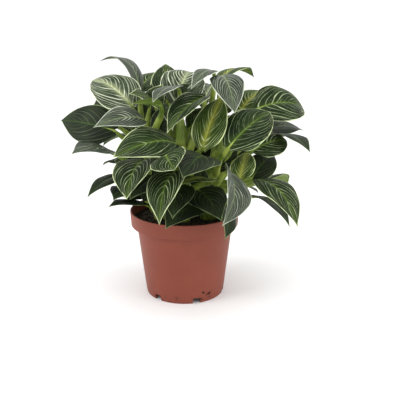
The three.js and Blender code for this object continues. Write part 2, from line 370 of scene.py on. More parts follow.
@dataclass(frozen=True)
class StalkFinish:
    """Smooth, juicy stalks and crowns: yellow-green with fine lengthwise streaks."""

    name: str
    green: Colour
    lime: Colour

    def material(self) -> bpy.types.Material:
        """Builds the material.

        Returns:
            The material.
        """
        chart = NodeChart(self.name)
        place = chart.object_place()
        stretched = chart.node("ShaderNodeMapping")
        chart.join(place, stretched.inputs["Vector"])
        stretched.inputs["Scale"].default_value = (900, 900, 60)
        streak = chart.grain(stretched.outputs[0], 1.0, 3)
        patch = chart.grain(place, 45.0, 2)
        colour = chart.mix(chart.ramp(patch, 0.35, 0.65), self.green, self.lime)
        colour = chart.mix(chart.ramp(streak, 0.5, 0.75, (0, 0.35)), colour, (0.5, 0.55, 0.22))
        chart.bump(streak, 0.0002, 0.4)
        return chart.dress(colour, 0.42, 0.25)


@dataclass(frozen=True)
class PotFinish:
    """Terracotta-coloured moulded plastic: matte, a little mottled, dusty at the foot."""

    name: str
    clay: Colour
    warm: Colour
    dust: Colour
    foot_height: float

    def material(self) -> bpy.types.Material:
        """Builds the material.

        Returns:
            The material.
        """
        chart = NodeChart(self.name)
        place = chart.object_place()
        cloud = chart.grain(place, 14.0, 4, 0.6)
        colour = chart.mix(chart.ramp(cloud, 0.3, 0.7), self.clay, self.warm)
        speck = chart.grain(place, 420.0, 2)
        colour = chart.mix(chart.ramp(speck, 0.66, 0.76, (0, 0.3)), colour, self.dust)
        height = chart.node("ShaderNodeSeparateXYZ")
        chart.join(place, height.inputs[0])
        low = chart.ramp(height.outputs[2], self.foot_height, 0.0, (0, 1))
        soiling = chart.ramp(chart.grain(place, 190.0, 4, 0.65), 0.56, 0.66)
        colour = chart.mix(chart.times(low, soiling), colour, (0.03, 0.02, 0.015))
        skin = chart.grain(place, 1600.0, 2)
        chart.bump(skin, 0.00012, 0.35)
        rough = chart.ramp(cloud, 0.3, 0.7, (0.44, 0.56))
        return chart.dress(colour, rough, 0.2)


@dataclass(frozen=True)
class SoilFinish:
    """Moist dark peat with brown fibres and fine pale grit."""

    name: str
    peat: Colour
    fibre: Colour

    def material(self) -> bpy.types.Material:
        """Builds the material.

        Returns:
            The material.
        """
        chart = NodeChart(self.name)
        place = chart.object_place()
        lump = chart.grain(place, 260.0, 5, 0.65)
        colour = chart.mix(chart.ramp(lump, 0.42, 0.68), self.peat, self.fibre)
        grit = chart.grain(place, 900.0, 1)
        colour = chart.mix(chart.ramp(grit, 0.7, 0.76, (0, 0.5)), colour, (0.2, 0.15, 0.1))
        chart.bump(lump, 0.0012, 0.9)
        return chart.dress(colour, 0.9, 0.25)


BLADE_FINISHES: dict[Age, BladeFinish] = {
    Age.PALE: BladeFinish(
        name="pale_blade", deep=(0.02, 0.034, 0.015), light=(0.05, 0.07, 0.035),
        cream=(0.62, 0.66, 0.49), midrib=(0.5, 0.56, 0.3),
        veins=10, line=1.25, streak=0.55, glow=0.34, margin=1.0, roughness=0.4, specular=0.08,
    ),
    Age.FRESH: BladeFinish(
        name="fresh_blade", deep=(0.014, 0.034, 0.004), light=(0.036, 0.068, 0.009),
        cream=(0.5, 0.57, 0.28), midrib=(0.34, 0.36, 0.06),
        veins=10, line=0.85, streak=0.45, glow=0.42, margin=1.1, roughness=0.4, specular=0.06,
    ),
    Age.STRIPED: BladeFinish(
        name="striped_blade", deep=(0.006, 0.014, 0.004), light=(0.016, 0.032, 0.008),
        cream=(0.5, 0.57, 0.32), midrib=(0.15, 0.24, 0.04),
        veins=9, line=0.85, streak=0.35, glow=0.12, margin=1.0, roughness=0.4, specular=0.06,
    ),
    Age.DARK: BladeFinish(
        name="dark_blade", deep=(0.011, 0.016, 0.009), light=(0.022, 0.032, 0.016),
        cream=(0.22, 0.28, 0.13), midrib=(0.06, 0.11, 0.025),
        veins=8, line=0.5, streak=0.14, glow=0.08, margin=0.7, roughness=0.42, specular=0.08,
    ),
    # The even grey wash over these greens and the greyer cream are painted sheen; the higher specular level
    # is the leaf's real gloss.
    Age.GREY: BladeFinish(
        name="grey_painted_sheen_blade", deep=(0.014, 0.023, 0.012), light=(0.034, 0.047, 0.027),
        cream=(0.42, 0.46, 0.36), midrib=(0.22, 0.28, 0.14),
        veins=10, line=0.95, streak=0.42, glow=0.1, margin=0.9, roughness=0.38, specular=0.16,
    ),
}
UNDER_FINISHES: dict[Age, UnderFinish] = {
    Age.PALE: UnderFinish("pale_under", (0.13, 0.18, 0.06), (0.32, 0.38, 0.18)),
    Age.FRESH: UnderFinish("fresh_under", (0.1, 0.17, 0.03), (0.26, 0.34, 0.09)),
    Age.STRIPED: UnderFinish("striped_under", (0.05, 0.085, 0.025), (0.15, 0.2, 0.07)),
    Age.DARK: UnderFinish("dark_under", (0.04, 0.065, 0.022), (0.1, 0.14, 0.05)),
    Age.GREY: UnderFinish("grey_under", (0.06, 0.09, 0.035), (0.15, 0.19, 0.08)),
}
STALK_FINISH = StalkFinish("stalk_skin", (0.11, 0.18, 0.02), (0.31, 0.39, 0.07))
POT_FINISH = PotFinish(
    name="terracotta_plastic", clay=(0.19, 0.046, 0.028), warm=(0.222, 0.057, 0.035),
    dust=(0.29, 0.095, 0.066), foot_height=0.012,
)
SOIL_FINISH = SoilFinish("dark_peat", (0.014, 0.01, 0.008), (0.055, 0.038, 0.028))


# ------------------------------------------------------------------ shared making
def named_points(table: list[Pair], share: float) -> float:
    """Reads a smooth curve through a short list of points.

    Args:
        table: (place, value) pairs in order of place.
        share: the place to read.

    Returns:
        The value there.
    """
    last = len(table) - 2
    i = min(next((k for k in range(last + 1) if share <= table[k + 1][0]), last), last)
    (x0, y0), (x1, y1) = table[i], table[i + 1]
    before = table[i - 1] if i else (2 * x0 - x1, 2 * y0 - y1)
    after = table[i + 2] if i < last else (2 * x1 - x0, 2 * y1 - y0)
    u = (share - x0) / (x1 - x0)
    slope0 = (y1 - before[1]) / (x1 - before[0]) * (x1 - x0)
    slope1 = (after[1] - y0) / (after[0] - x0) * (x1 - x0)
    u2, u3 = u * u, u * u * u
    smooth = (2 * u3 - 3 * u2 + 1) * y0 + (u3 - 2 * u2 + u) * slope0
    return smooth + (3 * u2 - 2 * u3) * y1 + (u3 - u2) * slope1


def bezier(points: list[Vector], share: float) -> Vector:
    """A point of a Bezier curve of any degree.

    Args:
        points: its control points.
        share: the place along it, from 0 to 1.

    Returns:
        The point there.
    """
    while len(points) > 1:
        points = [a.lerp(b, share) for a, b in zip(points, points[1:])]
    return points[0]


def sheet(
    shape: bmesh.types.BMesh, across: int, along: int, place: Callable[[float, float], Vector]
) -> list[tuple[bmesh.types.BMVert, float, float]]:
    """Adds a grid and moves each of its points to where a function puts it.

    Args:
        shape: the mesh to add to.
        across: how many faces across.
        along: how many faces along.
        place: gives the point for a place across and a share along, both from 0 to 1.

    Returns:
        The grid's points, with their (across, along) places.
    """
    made = bmesh.ops.create_grid(shape, x_segments=across, y_segments=along, size=1)
    spots = []
    for vert in made["verts"]:
        u, v = round((vert.co.x + 1) / 2, 6), round((vert.co.y + 1) / 2, 6)
        vert.co = place(u, v)
        spots.append((vert, u, v))
    return spots


def weld(shape: bmesh.types.BMesh) -> None:
    """Merges points that lie within a thousandth of a millimetre of each other."""
    bmesh.ops.remove_doubles(shape, verts=shape.verts[:], dist=0.001 * MM)


def bar(
    shape: bmesh.types.BMesh,
    path: list[Vector],
    radii: list[float],
    side: Vector,
    sides: int,
    groove: float = 0.0,
) -> list[bmesh.types.BMFace]:
    """Adds a bar along a path, closed at both ends by flat caps.

    Args:
        shape: the mesh to add to.
        path: the points of its centre line.
        radii: its radius at each point.
        side: the direction that its section starts from.
        sides: how many faces go round it.
        groove: how deep its upper side is hollowed, as a share of its radius.

    Returns:
        The bar's faces.
    """
    before = set(shape.faces)
    last = len(path) - 1
    tangents = [(path[min(i + 1, last)] - path[max(i - 1, 0)]).normalized() for i in range(last + 1)]
    outs = [(side - t * side.dot(t)).normalized() for t in tangents]

    def place(u: float, v: float) -> Vector:
        """A point of the bar's skin.

        Args:
            u: the place round it, from 0 to 1.
            v: the place along it, from 0 to 1.

        Returns:
            The point.
        """
        i = round(v * last)
        angle = math.tau * u
        up = outs[i].cross(tangents[i])
        dip = 1 - groove * max(0.0, math.sin(angle)) ** 3
        return path[i] + (outs[i] * math.cos(angle) + up * math.sin(angle) * dip) * radii[i]

    spots = sheet(shape, sides, last, place)
    bmesh.ops.remove_doubles(shape, verts=[s[0] for s in spots], dist=1e-7)
    rims = [e for e in shape.edges if e.is_boundary]
    bmesh.ops.holes_fill(shape, edges=rims, sides=0)
    faces = [f for f in shape.faces if f not in before]
    bmesh.ops.recalc_face_normals(shape, faces=faces)
    return faces


def turned(outline: list[Pair], steps: int) -> bmesh.types.BMesh:
    """Spins an outline about the pot's axis into a closed shape.

    Args:
        outline: (radius, height) points in millimetres, from the axis and back to it.
        steps: how many faces go round.

    Returns:
        The mesh.
    """
    shape = bmesh.new()
    verts = [shape.verts.new((r * MM, 0, z * MM)) for r, z in outline]
    edges = [shape.edges.new(pair) for pair in zip(verts, verts[1:])]
    bmesh.ops.spin(
        shape, geom=verts + edges, cent=(0, 0, 0), axis=(0, 0, 1), angle=math.tau, steps=steps, use_merge=True
    )
    weld(shape)
    bmesh.ops.recalc_face_normals(shape, faces=shape.faces[:])
    return shape


def corner(at: Pair, into: Pair, out: Pair, size: float) -> list[Pair]:
    """A rounded corner of an outline.

    Args:
        at: the sharp corner, in millimetres.
        into: the outline's point before it.
        out: the outline's point after it.
        size: how far from the corner the rounding starts.

    Returns:
        The points of the rounding.
    """
    spot = Vector((*at, 0))
    start = spot + (Vector((*into, 0)) - spot).normalized() * size
    end = spot + (Vector((*out, 0)) - spot).normalized() * size
    curve = [bezier([start, spot, end], i / CORNER_STEPS) for i in range(CORNER_STEPS + 1)]
    return [(p.x, p.y) for p in curve]


def rounded(outline: list[Triple]) -> list[Pair]:
    """Rounds an outline's corners.

    Args:
        outline: (radius, height, rounding) points in millimetres.

    Returns:
        The (radius, height) points of the rounded outline.
    """
    points = []
    for i, (r, z, size) in enumerate(outline):
        if size:
            points += corner((r, z), outline[i - 1][:2], outline[i + 1][:2], size)
        else:
            points.append((r, z))
    return points


def piece(
    name: str, shape: bmesh.types.BMesh, materials: list[bpy.types.Material]
) -> bpy.types.Object:
    """Makes a mesh into a piece that rides on the plant's one body.

    Args:
        name: the piece's name.
        shape: its mesh, which is freed.
        materials: its materials, in the order of its faces' numbers.

    Returns:
        The piece's object.
    """
    mesh = bpy.data.meshes.new(name)
    for face in shape.faces:
        face.smooth = True
    shape.to_mesh(mesh)
    shape.free()
    for material in materials:
        mesh.materials.append(material)
    made = bpy.data.objects.new(name, mesh)
    bpy.context.scene.collection.objects.link(made)
    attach(made, BODY)
    return made


# ------------------------------------------------------------------ pot
@dataclass
class NurseryPot:
    """The thin plastic pot: tapered wall, deep collar, notched foot and drained floor."""

    height: float = 95
    rim_radius: float = 60
    collar_radius: float = 59
    collar_height: float = 16
    body_radius: float = 52.8
    base_radius: float = 43.3
    wall: float = 1.2
    foot_width: float = 2
    floor_height: float = 7
    floor_thickness: float = 1.4
    notch_width: float = 8.2
    notch_height: float = 6.5
    first_notch: float = 18
    drain_radius: float = 4.5
    drain_ring: float = 29
    drain_sides: int = 28
    cutter_reach: float = 10
    drill_length: float = 8
    sharp_angle: float = 38
    repeats: int = 6
    steps: int = 144

    def outline(self) -> list[Pair]:
        """Draws the pot's section, from the floor's underside round the wall to the floor's top.

        Returns:
            Its (radius, height) points.
        """
        ledge = self.height - self.collar_height
        floor_top = self.floor_height + self.floor_thickness
        wall = self.wall
        slope = (self.body_radius - self.base_radius) / ledge
        return rounded([
            (0, self.floor_height, 0),
            (self.base_radius + slope * self.floor_height - self.foot_width, self.floor_height, 0.6),
            (self.base_radius - self.foot_width, 0, 0.3),
            (self.base_radius - 0.6, 0, 0.4),
            (self.base_radius + 0.3, 3.2, 1.5),
            (self.body_radius, ledge, 0.5),
            (self.collar_radius, ledge, 0.7),
            (self.rim_radius, self.height, 0.55),
            (self.rim_radius - wall - 0.3, self.height, 0.55),
            (self.rim_radius - wall - 0.4, self.height - 2.5, 0.6),
            (self.collar_radius - wall, ledge + 1.5 + wall, 1.2),
            (self.body_radius - wall, ledge + 1.5, 1.2),
            (self.base_radius + slope * floor_top - wall, floor_top, 1.5),
            (0, floor_top, 0),
        ])

    def cutters(self) -> bpy.types.Object:
        """Makes the blocks that cut the foot's notches and the drills that cut the floor's drains.

        Returns:
            The cutters, as one object.
        """
        shape = bmesh.new()
        for i in range(self.repeats):
            turn = Matrix.Rotation(math.radians(self.first_notch + 360 / self.repeats * i), 4, "Z")
            size = Matrix.Diagonal(
                (self.notch_width * MM, self.cutter_reach * MM, 2 * self.notch_height * MM, 1)
            )
            block = turn @ Matrix.Translation((0, -self.base_radius * MM, 0)) @ size
            bmesh.ops.create_cube(shape, size=1, matrix=block)
            half = Matrix.Rotation(math.radians(180 / self.repeats), 4, "Z")
            drill = half @ turn @ Matrix.Translation((0, -self.drain_ring * MM, self.floor_height * MM))
            radius = self.drain_radius * MM
            bmesh.ops.create_cone(
                shape, cap_ends=True, segments=self.drain_sides,
                radius1=radius, radius2=radius, depth=self.drill_length * MM, matrix=drill,
            )
        mesh = bpy.data.meshes.new("pot_cutters")
        shape.to_mesh(mesh)
        shape.free()
        made = bpy.data.objects.new("pot_cutters", mesh)
        bpy.context.scene.collection.objects.link(made)
        return made

    def build(self) -> bpy.types.Object:
        """Builds the pot and dresses it.

        Returns:
            The pot's object, which stands for the frame's pot.
        """
        shape = turned(self.outline(), self.steps)
        made = piece("nursery_pot", shape, [POT_FINISH.material()])
        cutters = self.cutters()
        cut = made.modifiers.new("cut", "BOOLEAN")
        cut.operation = "DIFFERENCE"
        cut.solver = "EXACT"
        cut.object = cutters
        seen = bpy.context.evaluated_depsgraph_get()
        mesh = bpy.data.meshes.new_from_object(made.evaluated_get(seen))
        made.modifiers.clear()
        made.data = mesh
        bpy.data.objects.remove(cutters)
        mesh.shade_smooth()
        mesh.set_sharp_from_angle(angle=math.radians(self.sharp_angle))
        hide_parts("pot")
        return made


# ------------------------------------------------------------------ root ball
@dataclass
class RootBall:
    """The peat that fills the pot, with loose crumbs on top and a few on the pot's wall."""

    pot: NurseryPot
    top: float = 84
    crown: float = 3
    gap: float = 0.4
    lump_height: float = 1.5
    lump_scale: float = 0.11
    rings: int = 40
    steps: int = 120
    crumbs: int = 420
    crumb_sizes: tuple[float, ...] = (0.6, 0.8, 1.0, 1.4, 2.0)
    wall_crumbs: tuple[Triple, ...] = (
        (27, 12.5, 1.3), (29, 11.2, 0.8), (36, 9.5, 1.5), (38.5, 10.6, 0.8), (33, 8.2, 0.7), (25.5, 4.6, 1.3),
        (24, 3.4, 0.8), (41, 12.3, 0.5),
    )

    def surface(self, x: float, y: float) -> float:
        """Finds the height of the lumpy top.

        Args:
            x: the place's first number, in millimetres.
            y: its second number.

        Returns:
            The height there, in millimetres.
        """
        away = math.hypot(x, y) / self.pot.collar_radius
        spot = Vector((x, y, 0)) * self.lump_scale
        rough = self.lump_height * noise.fractal(spot, 1.0, 2.0, 4)
        return self.top + self.crown * (1 - away**2) + rough * (1 - 0.6 * away**4)

    def ball(self) -> bpy.types.Object:
        """Builds the root ball itself, closed, with a lumpy top.

        Returns:
            Its object, which stands for the frame's soil.
        """
        pot = self.pot
        ledge = pot.height - pot.collar_height
        inner = pot.wall + self.gap
        reach = pot.collar_radius - inner
        low = pot.floor_height + pot.floor_thickness + self.gap
        tops = [(reach * i / self.rings, self.top) for i in range(self.rings, -1, -1)]
        slope = (pot.body_radius - pot.base_radius) / ledge
        outline = [
            (0, low),
            (pot.base_radius + slope * low - inner - 0.6, low),
            (pot.body_radius - inner - 0.4, ledge + 1.2),
            (reach - 0.4, ledge + 4.2),
            *tops,
        ]
        shape = turned(outline, self.steps)
        for vert in shape.verts:
            if vert.co.z > (self.top - 0.01) * MM:
                vert.co.z = self.surface(vert.co.x / MM, vert.co.y / MM) * MM
        made = piece("root_ball", shape, [SOIL_FINISH.material()])
        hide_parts("soil")
        return made

    @staticmethod
    def crumb(shape: bmesh.types.BMesh, at: Vector, size: float, draw: random.Random) -> None:
        """Adds one crumb: a small, dented, turned lump.

        Args:
            shape: the mesh to add to.
            at: its centre, in metres.
            size: its radius in millimetres.
            draw: the source of its random turn and dents.
        """
        turn = Matrix.Rotation(draw.uniform(0, math.tau), 4, draw.choice("XYZ"))
        stretch = Matrix.Diagonal((draw.uniform(0.7, 1.4), draw.uniform(0.7, 1.2), draw.uniform(0.5, 0.9), 1))
        made = bmesh.ops.create_icosphere(
            shape, subdivisions=1, radius=size * MM, matrix=Matrix.Translation(at) @ turn @ stretch
        )
        for vert in made["verts"]:
            vert.co = at + (vert.co - at) * draw.uniform(0.75, 1.2)

    def loose(self) -> bpy.types.Object:
        """Scatters crumbs of peat over the top.

        Returns:
            The crumbs, as one object.
        """
        draw = random.Random(12)
        shape = bmesh.new()
        reach = self.pot.collar_radius - self.pot.wall - 3.0
        for _ in range(self.crumbs):
            away, angle = reach * math.sqrt(draw.random()), draw.uniform(0, math.tau)
            x, y = away * math.cos(angle), away * math.sin(angle)
            size = draw.choice(self.crumb_sizes)
            self.crumb(shape, Vector((x, y, self.surface(x, y) + size * 0.2)) * MM, size, draw)
        return piece("soil_crumbs", shape, [SOIL_FINISH.material()])

    def stuck(self) -> bpy.types.Object:
        """Sets the few crumbs that cling to the pot's wall, each by its angle, height and size.

        Returns:
            The crumbs, as one object.
        """
        draw = random.Random(5)
        shape = bmesh.new()
        pot = self.pot
        slope = (pot.body_radius - pot.base_radius) / (pot.height - pot.collar_height)
        for angle, height, size in self.wall_crumbs:
            radius = pot.base_radius + slope * height + 0.1
            turn = math.radians(angle)
            at = Vector((radius * math.sin(turn), -radius * math.cos(turn), height)) * MM
            self.crumb(shape, at, size, draw)
        return piece("wall_crumbs", shape, [SOIL_FINISH.material()])

    def build(self) -> Iterator[bpy.types.Object]:
        """Builds the ball and both sets of crumbs.

        Yields:
            Each piece's object.
        """
        yield self.ball()
        yield self.loose()
        yield self.stuck()


# ------------------------------------------------------------------ crowns
@dataclass
class Crown:
    """One short stem, ringed by old leaf scars, that leans from the soil and ends in a bud."""

    name: str
    foot: tuple[float, float]
    head: tuple[float, float]
    top: float
    low: float = 72
    low_radius: float = 8
    top_radius: float = 5.5
    bud_radius: float = 1.2
    soil_top: float = 84
    bud_start: float = 0.86
    scar: float = 0.45
    scars: int = 7
    rings: int = 64
    sides: int = 24

    def centre(self, share: float) -> Vector:
        """Follows the centre line.

        Args:
            share: the share of its way, from 0 to 1.

        Returns:
            The point there, in metres.
        """
        low = Vector((*self.foot, self.low))
        middle = Vector((*self.foot, (self.soil_top + self.top) / 2))
        return bezier([low, middle, Vector((*self.head, self.top))], share) * MM

    def share_at(self, height: float) -> float:
        """Finds the share of the way that lies at a height.

        Args:
            height: the height, in millimetres.

        Returns:
            The share, from 0 to 1.
        """
        low, high = 0.0, 1.0
        for _ in range(24):
            middle = (low + high) / 2
            low, high = (middle, high) if self.centre(middle).z < height * MM else (low, middle)
        return low

    def radius(self, share: float) -> float:
        """Finds the radius along the crown.

        Args:
            share: the share of its way, from 0 to 1.

        Returns:
            The radius there, in millimetres.
        """
        plain = self.low_radius + (self.top_radius - self.low_radius) * share
        closing = max(0.0, min(1.0, (share - self.bud_start) / (1 - self.bud_start)))
        return plain + (self.bud_radius - plain) * closing * closing * (3 - 2 * closing)

    def build(self, skin: bpy.types.Material) -> bpy.types.Object:
        """Builds the crown.

        Args:
            skin: its material.

        Returns:
            The crown's object, which stands for the frame's stem.
        """
        path = [self.centre(i / self.rings) for i in range(self.rings + 1)]
        radii = []
        for i in range(self.rings + 1):
            share = i / self.rings
            scar = self.scar * max(0.0, math.cos(share * math.tau * self.scars)) ** 8
            radii.append((self.radius(share) + scar * (1 - share)) * MM)
        shape = bmesh.new()
        bar(shape, path, radii, Vector((1, 0, 0)), self.sides)
        made = piece(f"{self.name}_crown", shape, [skin])
        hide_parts(f"{self.name}_stem")
        return made


@dataclass(frozen=True)
class Sheath:
    """One old leaf sheath: a pointed tongue that hugs a crown and flares at its tip."""

    low: float
    high: float
    turn: float
    flare: float = 3.5
    arc: float = 210
    wall: float = 0.7
    taper: float = 2.6
    stand_off: float = 1.0
    ridge: float = 0.25
    ridges: int = 5
    across: int = 20
    along: int = 22

    def place(self, crown: Crown, u: float, v: float) -> Vector:
        """A point of the sheath.

        Args:
            crown: the crown that it hugs.
            u: the place across, from 0 to 1.
            v: the place along, from 0 to 1.

        Returns:
            The point, in metres.
        """
        share = crown.share_at(self.low + (self.high - self.low) * min(v, 0.999))
        closing = math.sqrt(max(0.0, 1 - v**self.taper))
        angle = math.radians(self.turn + (u - 0.5) * self.arc * closing)
        full = crown.low_radius + (crown.top_radius - crown.low_radius) * share
        radius = full + self.stand_off + self.flare * v * v - 0.5 * abs(u - 0.5)
        ridge = self.ridge * math.cos(math.tau * self.ridges * u) * closing
        return crown.centre(share) + Vector((math.sin(angle), -math.cos(angle), 0)) * ((radius + ridge) * MM)

    def add(self, shape: bmesh.types.BMesh, crown: Crown) -> None:
        """Adds the sheath to a mesh.

        Args:
            shape: the mesh to add to.
            crown: the crown that it hugs.
        """
        before = set(shape.faces)
        spots = sheet(shape, self.across, self.along, lambda u, v: self.place(crown, u, v))
        bmesh.ops.remove_doubles(shape, verts=[s[0] for s in spots], dist=1e-5)
        faces = [f for f in shape.faces if f not in before]
        bmesh.ops.recalc_face_normals(shape, faces=faces)
        bmesh.ops.solidify(shape, geom=faces, thickness=self.wall * MM)


SHEATHS: dict[str, tuple[Sheath, ...]] = {
    "left": (Sheath(86, 128, 40), Sheath(104, 158, -30), Sheath(128, 186, 35), Sheath(120, 170, 170)),
    "centre": (Sheath(86, 124, -35), Sheath(104, 160, 30), Sheath(126, 178, -40), Sheath(120, 172, 160)),
    "right": (Sheath(86, 120, 30), Sheath(98, 146, -35), Sheath(118, 168, 25), Sheath(108, 158, 175)),
    "back": (Sheath(86, 124, 20), Sheath(106, 150, 200), Sheath(122, 172, 140), Sheath(118, 160, -30)),
}


# ------------------------------------------------------------------ leaves
POINTED_OUTLINE = [
    (0, 0.4), (0.06, 0.68), (0.16, 0.91), (0.33, 1), (0.52, 0.92),
    (0.7, 0.66), (0.86, 0.29), (0.95, 0.08), (1, 0),
]
OVAL_OUTLINE = [
    (0, 0.4), (0.06, 0.7), (0.16, 0.92), (0.33, 1), (0.52, 0.98),
    (0.7, 0.83), (0.86, 0.52), (0.95, 0.2), (1, 0),
]
STALK_RADII = [(0, 4.5), (0.1, 4.2), (0.25, 3.5), (0.45, 2.5), (0.6, 1.5), (0.78, 0.7), (1, 0.2)]


@dataclass(frozen=True)
class LeafPlan:
    """Where and how one leaf grows. Lengths are in millimetres.

    Node is the height at which the stalk leaves its crown, and face the way the upper side looks.
    Arch and fold are shares of the blade's length and width, and oval runs from a pointed tip at 0
    to a round one at 1.
    """

    crown: str
    node: float
    base: Triple
    tip: Triple
    face: Triple
    width: float
    arch: float
    fold: float
    age: Age
    oval: float = 0


@dataclass
class Leaf:
    """One leaf: a grooved stalk that runs on as the midrib of a thin, pointed blade."""

    plan: LeafPlan
    crown: Crown
    number: int
    lobe: float = 0.075
    curl: float = 0.22
    thickness: float = 0.5
    sweep: float = 0.3
    sweep_gain: float = 0.22
    hook: float = 0.26
    rib_dip: float = 0.45
    rib_reach: float = 1.3
    quilt: float = 0.1
    quilts: int = 7
    wave: float = 0.045
    waves: float = 1.6
    wave_step: float = 0.37
    wave_lag: float = 2.1
    end_taper: float = 12
    stalk_gap: float = 2.8
    stalk_root: float = 4.5
    stalk_steps: int = 22
    stalk_sides: int = 10
    groove: float = 0.35
    rib_share: float = 0.86
    rib_steps: int = 18
    across: int = 24
    along: int = 52
    side: Vector = field(init=False)
    midrib: list[Vector] = field(init=False)
    length: float = field(init=False)

    def __post_init__(self) -> None:
        """Works out the blade's own directions."""
        base, tip, face = Vector(self.plan.base), Vector(self.plan.tip), Vector(self.plan.face)
        chord = tip - base
        self.length = chord.length
        way = chord.normalized()
        face = (face - way * face.dot(way)).normalized()
        self.side = way.cross(face)
        bow = base + chord * 0.45 + face * (2 * self.plan.arch * self.length)
        self.midrib = [base, bow, tip]

    def tangent(self, share: float) -> Vector:
        """The midrib's direction at a share of the blade."""
        base, bow, tip = self.midrib
        return ((bow - base) * (1 - share) + (tip - bow) * share).normalized()

    def half_width(self, share: float) -> float:
        """Half the blade's width at a share of its length."""
        pointed, oval = (named_points(table, share) for table in (POINTED_OUTLINE, OVAL_OUTLINE))
        return self.plan.width / 2 * max(0.0, pointed + (oval - pointed) * self.plan.oval)

    def phase(self, share: float, away: float) -> float:
        """Where the lateral vein through a point leaves the midrib, as a share of the blade."""
        return share - (self.sweep + self.sweep_gain * share) * away - self.hook * away**3

    def blade_point(self, share: float, across: float, layer: float) -> Vector:
        """A point of the blade.

        Args:
            share: the share of the blade's length.
            across: from -1 to 1, from one margin to the other.
            layer: 1 for the upper face and -1 for the under face.

        Returns:
            The point, in metres.
        """
        half = self.half_width(share)
        away = abs(across)
        lateral = half * across
        back = self.lobe * self.length * math.sin(math.pi * away**0.9) * (1 - share) ** 5
        tangent = self.tangent(share)
        normal = self.side.cross(tangent)
        lift = self.plan.fold * abs(lateral) - self.curl * lateral * lateral / (self.plan.width / 2)
        lift -= self.rib_dip * math.exp(-((lateral / self.rib_reach) ** 2)) * (1 - share)
        ripple = self.quilt * math.cos(math.tau * self.quilts * self.phase(share, away))
        lift += ripple * min(1, 4 * away) * (1 - away**4)
        turns = self.waves * share + self.wave_step * self.number
        wave = math.sin(math.tau * turns + self.wave_lag * (across > 0))
        lift += self.wave * half * wave * away**3 * 4 * share * (1 - share)
        full = (1 - away**8) * min(1, self.end_taper * share) * min(1, self.end_taper * (1 - share))
        lift += layer * self.thickness / 2 * full
        return (bezier(self.midrib, share) - tangent * back + self.side * lateral + normal * lift) * MM

    def stalk_path(self) -> list[Vector]:
        """Lays the stalk's centre line, from inside the crown to well along under the blade.

        Returns:
            Its points, in metres.
        """
        plan = self.plan
        share = self.crown.share_at(plan.node)
        centre = self.crown.centre(share) / MM
        base = Vector(plan.base)
        outward = Vector((base.x - centre.x, base.y - centre.y, 0)).normalized()
        start = centre + outward * (self.crown.radius(share) + self.stalk_gap)
        reach = (base - start).length
        leave = (outward * 0.45 + Vector((0, 0, 1))).normalized()
        arrive = ((base - start).normalized() * 0.7 + self.tangent(0) * 0.5).normalized()
        rise = [start, start + leave * (reach * 0.35), base - arrive * (reach * 0.3), base]
        path = [start - (outward * 2 + Vector((0, 0, 1))).normalized() * self.stalk_root]
        path += [bezier(rise, i / self.stalk_steps) for i in range(self.stalk_steps)]
        for i in range(self.rib_steps + 1):
            under = i / self.rib_steps * self.rib_share
            drop = 0.55 + 0.5 * (1 - under)
            path.append(bezier(self.midrib, under) - self.side.cross(self.tangent(under)) * drop)
        return [p * MM for p in path]

    def stalk_radius(self, share: float) -> float:
        """The stalk's radius in metres at a share of the whole path."""
        return named_points(STALK_RADII, share) * MM

    def build(self, name: str, coats: list[bpy.types.Material]) -> bpy.types.Object:
        """Builds the leaf.

        Args:
            name: the piece's name.
            coats: the materials of its upper face, under face and stalk.

        Returns:
            The leaf's object.
        """
        shape = bmesh.new()
        veins = shape.verts.layers.float_vector.new(VEIN_LAYER)
        places = shape.verts.layers.float_vector.new(PLACE_LAYER)
        for coat, layer in enumerate((1, -1)):
            before = set(shape.faces)
            spots = sheet(shape, self.across, self.along, lambda u, v, k=layer: self.spot(u, v, k))
            for vert, u, v in spots:
                across, share = self.spread(u), self.pace(v)
                away, half = abs(across), self.half_width(share)
                vert[veins] = Vector((self.phase(share, away), away, self.number * PATTERN_STEP))
                vert[places] = Vector((share, half * across, half * (1 - away)))
            for face in (f for f in shape.faces if f not in before):
                face.material_index = coat
                if layer < 0:
                    face.normal_flip()
        weld(shape)
        for edge in shape.edges:
            if len({f.material_index for f in edge.link_faces}) > 1:
                edge.smooth = False
        path = self.stalk_path()
        radii = [self.stalk_radius(i / (len(path) - 1)) for i in range(len(path))]
        for face in bar(shape, path, radii, self.side, self.stalk_sides, self.groove):
            face.material_index = 2
        return piece(name, shape, coats)

    @staticmethod
    def spread(u: float) -> float:
        """A grid column's place across the blade, closer together near the midrib."""
        x = 2 * u - 1
        return math.copysign(abs(x) ** 1.2, x)

    @staticmethod
    def pace(v: float) -> float:
        """A grid row's place along the blade, closer together at both ends."""
        return v - 0.07 * math.sin(math.tau * v)

    def spot(self, u: float, v: float, layer: float) -> Vector:
        """The blade's point for a grid place."""
        return self.blade_point(self.pace(v), self.spread(u), layer)


